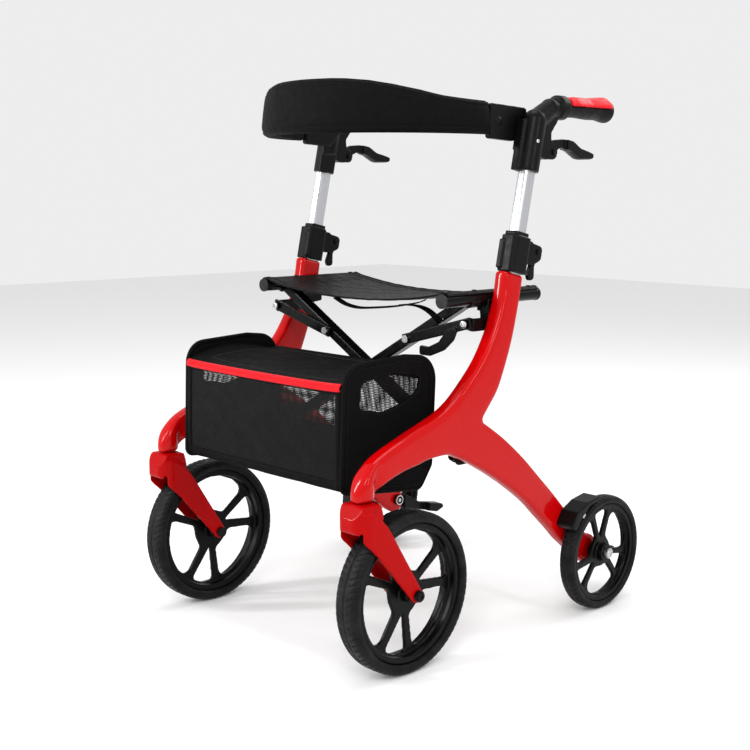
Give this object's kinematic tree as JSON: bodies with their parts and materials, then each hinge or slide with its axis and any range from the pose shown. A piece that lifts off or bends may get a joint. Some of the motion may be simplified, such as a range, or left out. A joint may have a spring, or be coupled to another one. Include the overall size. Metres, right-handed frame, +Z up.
{
  "type": "rollator walker",
  "caption": "Folding rolling walker with a seat, front caster wheels, rear wheels, hand brakes, height-set handles, a curved back band and a front storage bag.",
  "frame": {"origin": "on the floor, midway between the front tyres' contact points, with the frame open and the casters trailing", "axes": "+Z up, -Y forward, +X to the user's left when facing forward"},
  "size_m": [0.594, 0.7097, 0.904],
  "materials": {
    "frame_red": "gloss red lacquer",
    "fork_red": "satin red lacquer",
    "wheel_black": "satin moulded",
    "tyre": "treaded solid tyre",
    "cap_black": "gloss",
    "plastic_black": "fine moulded grain",
    "metal_black": "satin powder coat",
    "pole_silver": "brushed and anodised",
    "steel": "satin",
    "grip_black": "soft touch",
    "grip_red": "soft touch",
    "pad_fabric": "padded woven cover",
    "seat_fabric": "coated woven nylon",
    "webbing": "woven webbing",
    "bag_fabric": "woven nylon with mesh windows",
    "zip_red": "zip tape"
  },
  "bodies": {
    "left_frame": {"side_frame_L": "frame_red", "caster_bearings_L": "steel", "rear_axle_L": "steel", "brake_housing_L": "plastic_black", "step_pedal_L": "plastic_black", "hinge_bracket_L": "metal_black", "height_clamp_L": "plastic_black", "bag_body": "bag_fabric"},
    "bag_lid": {"bag_flap": "bag_fabric", "bag_zip": "zip_red"},
    "bar_a": {"cross_bar_R": "metal_black", "seat_rail_R": "metal_black", "cross_bolt": "steel"},
    "bar_b": {"cross_bar_L": "metal_black", "seat_rail_L": "metal_black", "seat_sling": "seat_fabric", "seat_strap": "webbing"},
    "right_frame": {"side_frame_R": "frame_red", "caster_bearings_R": "steel", "rear_axle_R": "steel", "brake_housing_R": "plastic_black", "step_pedal_R": "plastic_black", "hinge_bracket_R": "metal_black", "height_clamp_R": "plastic_black"},
    "fork_L": {"caster_fork_L": "fork_red", "caster_stem_L": "steel", "front_axle_L": "cap_black"},
    "front_wheel_L": {"front_rim_L": "wheel_black", "front_tyre_L": "tyre"},
    "rear_wheel_L": {"rear_rim_L": "wheel_black", "rear_tyre_L": "tyre"},
    "shoe_L": {"brake_shoe_L": "steel"},
    "clamp_lever_L": {"clamp_lever_L": "plastic_black"},
    "handle_L": {"handle_pole_L": "pole_silver", "handle_housing_L": "plastic_black", "grip_L": "grip_black", "grip_pad_L": "grip_red", "backrest_bracket_L": "plastic_black"},
    "brake_lever_L": {"brake_lever_L": "plastic_black"},
    "link_L": {"fold_link_L": "metal_black", "bar_bolts_L": "steel"},
    "backrest_L": {"backrest_pad_L": "pad_fabric"},
    "fork_R": {"caster_fork_R": "fork_red", "caster_stem_R": "steel", "front_axle_R": "cap_black"},
    "front_wheel_R": {"front_rim_R": "wheel_black", "front_tyre_R": "tyre"},
    "rear_wheel_R": {"rear_rim_R": "wheel_black", "rear_tyre_R": "tyre"},
    "shoe_R": {"brake_shoe_R": "steel"},
    "clamp_lever_R": {"clamp_lever_R": "plastic_black"},
    "handle_R": {"handle_pole_R": "pole_silver", "handle_housing_R": "plastic_black", "grip_R": "grip_black", "grip_pad_R": "grip_red", "backrest_bracket_R": "plastic_black"},
    "brake_lever_R": {"brake_lever_R": "plastic_black"},
    "link_R": {"fold_link_R": "metal_black", "bar_bolts_R": "steel"},
    "backrest_R": {"backrest_pad_R": "pad_fabric"}
  },
  "joints": [
    {"name": "fold", "type": "hinge", "parent": "left_frame", "child": "bar_a", "pos_m": [0.215, 0.156, 0.313], "axis": [0, 1, 0], "range_deg": [0, 40.5], "deforming": ["bag_body", "seat_sling", "bag_flap", "bag_zip", "seat_strap"]},
    {"name": "cross_hinge", "type": "hinge", "parent": "bar_a", "child": "bar_b", "pos_m": [0, 0.166, 0.438], "axis": [0, 1, 0], "range_deg": [-81, 0]},
    {"name": "right_frame_hinge", "type": "hinge", "parent": "bar_b", "child": "right_frame", "pos_m": [-0.215, 0.177, 0.313], "axis": [0, 1, 0], "range_deg": [0, 40.5]},
    {"name": "link_L_hinge", "type": "hinge", "parent": "left_frame", "child": "link_L", "pos_m": [0.218, 0.163, 0.524], "axis": [0, 1, 0], "range_deg": [0, 81.8]},
    {"name": "link_R_hinge", "type": "hinge", "parent": "right_frame", "child": "link_R", "pos_m": [-0.218, 0.142, 0.524], "axis": [0, 1, 0], "range_deg": [-81.8, 0]},
    {"name": "bag_lid_hinge", "type": "hinge", "parent": "left_frame", "child": "bag_lid", "pos_m": [0, 0.1155, 0.4515], "axis": [-1, 0, 0], "range_deg": [0, 70]},
    {"name": "caster_swivel_L", "type": "hinge", "parent": "left_frame", "child": "fork_L", "pos_m": [0.243, -0.09, 0.28], "axis": [0, 0, 1], "continuous": true},
    {"name": "front_wheel_spin_L", "type": "hinge", "parent": "fork_L", "child": "front_wheel_L", "pos_m": [0.243, 0, 0.127], "axis": [1, 0, 0], "continuous": true},
    {"name": "rear_wheel_spin_L", "type": "hinge", "parent": "left_frame", "child": "rear_wheel_L", "pos_m": [0.275, 0.466, 0.1015], "axis": [1, 0, 0], "continuous": true},
    {"name": "handle_height_L", "type": "slide", "parent": "left_frame", "child": "handle_L", "axis": [0, 0.2079, 0.9781], "range_m": [-0.04, 0.04]},
    {"name": "clamp_lever_hinge_L", "type": "hinge", "parent": "left_frame", "child": "clamp_lever_L", "pos_m": [0.243, 0.2993, 0.6346], "axis": [1, 0, 0], "range_deg": [0, 95]},
    {"name": "brake_lever_hinge_L", "type": "hinge", "parent": "handle_L", "child": "brake_lever_L", "pos_m": [0.243, 0.333, 0.796], "axis": [1, 0, 0], "range_deg": [0, 18], "stiffness_Nm_per_rad": 2, "springref_deg": -5.73},
    {"name": "brake_shoe_slide_L", "type": "slide", "parent": "left_frame", "child": "shoe_L", "axis": [0, 0.6451, -0.7641], "range_m": [0, 0.00275]},
    {"name": "caster_swivel_R", "type": "hinge", "parent": "right_frame", "child": "fork_R", "pos_m": [-0.243, -0.09, 0.28], "axis": [0, 0, 1], "continuous": true},
    {"name": "front_wheel_spin_R", "type": "hinge", "parent": "fork_R", "child": "front_wheel_R", "pos_m": [-0.243, 0, 0.127], "axis": [1, 0, 0], "continuous": true},
    {"name": "rear_wheel_spin_R", "type": "hinge", "parent": "right_frame", "child": "rear_wheel_R", "pos_m": [-0.275, 0.466, 0.1015], "axis": [1, 0, 0], "continuous": true},
    {"name": "handle_height_R", "type": "slide", "parent": "right_frame", "child": "handle_R", "axis": [0, 0.2079, 0.9781], "range_m": [-0.04, 0.04]},
    {"name": "clamp_lever_hinge_R", "type": "hinge", "parent": "right_frame", "child": "clamp_lever_R", "pos_m": [-0.243, 0.2993, 0.6346], "axis": [1, 0, 0], "range_deg": [0, 95]},
    {"name": "brake_lever_hinge_R", "type": "hinge", "parent": "handle_R", "child": "brake_lever_R", "pos_m": [-0.243, 0.333, 0.796], "axis": [1, 0, 0], "range_deg": [0, 18], "stiffness_Nm_per_rad": 2, "springref_deg": -5.73},
    {"name": "brake_shoe_slide_R", "type": "slide", "parent": "right_frame", "child": "shoe_R", "axis": [0, 0.6451, -0.7641], "range_m": [0, 0.00275]},
    {"name": "backrest_hinge", "type": "hinge", "parent": "handle_L", "child": "backrest_L", "pos_m": [0.2205, 0.2, 0.86], "axis": [0, 0, 1], "range_deg": [0, 32.05]},
    {"name": "backrest_crease", "type": "hinge", "parent": "backrest_L", "child": "backrest_R", "pos_m": [0, 0.0135, 0.86], "axis": [0, 0, 1], "range_deg": [-64.1, 0]}
  ],
  "couplings": [
    {"joint": "cross_hinge", "follows": "fold", "ratio": -2},
    {"joint": "right_frame_hinge", "follows": "fold", "ratio": 1},
    {"joint": "link_L_hinge", "follows": "fold", "ratio": 2.017},
    {"joint": "link_R_hinge", "follows": "fold", "ratio": -2.017},
    {"joint": "brake_shoe_slide_L", "follows": "brake_lever_hinge_L", "m_per_rad": 0.0086},
    {"joint": "brake_shoe_slide_R", "follows": "brake_lever_hinge_R", "m_per_rad": 0.0086},
    {"joint": "handle_height_R", "follows": "handle_height_L", "ratio": 1},
    {"joint": "backrest_hinge", "follows": "fold", "ratio": 0.7906},
    {"joint": "backrest_crease", "follows": "fold", "ratio": -1.5812}
  ]
}
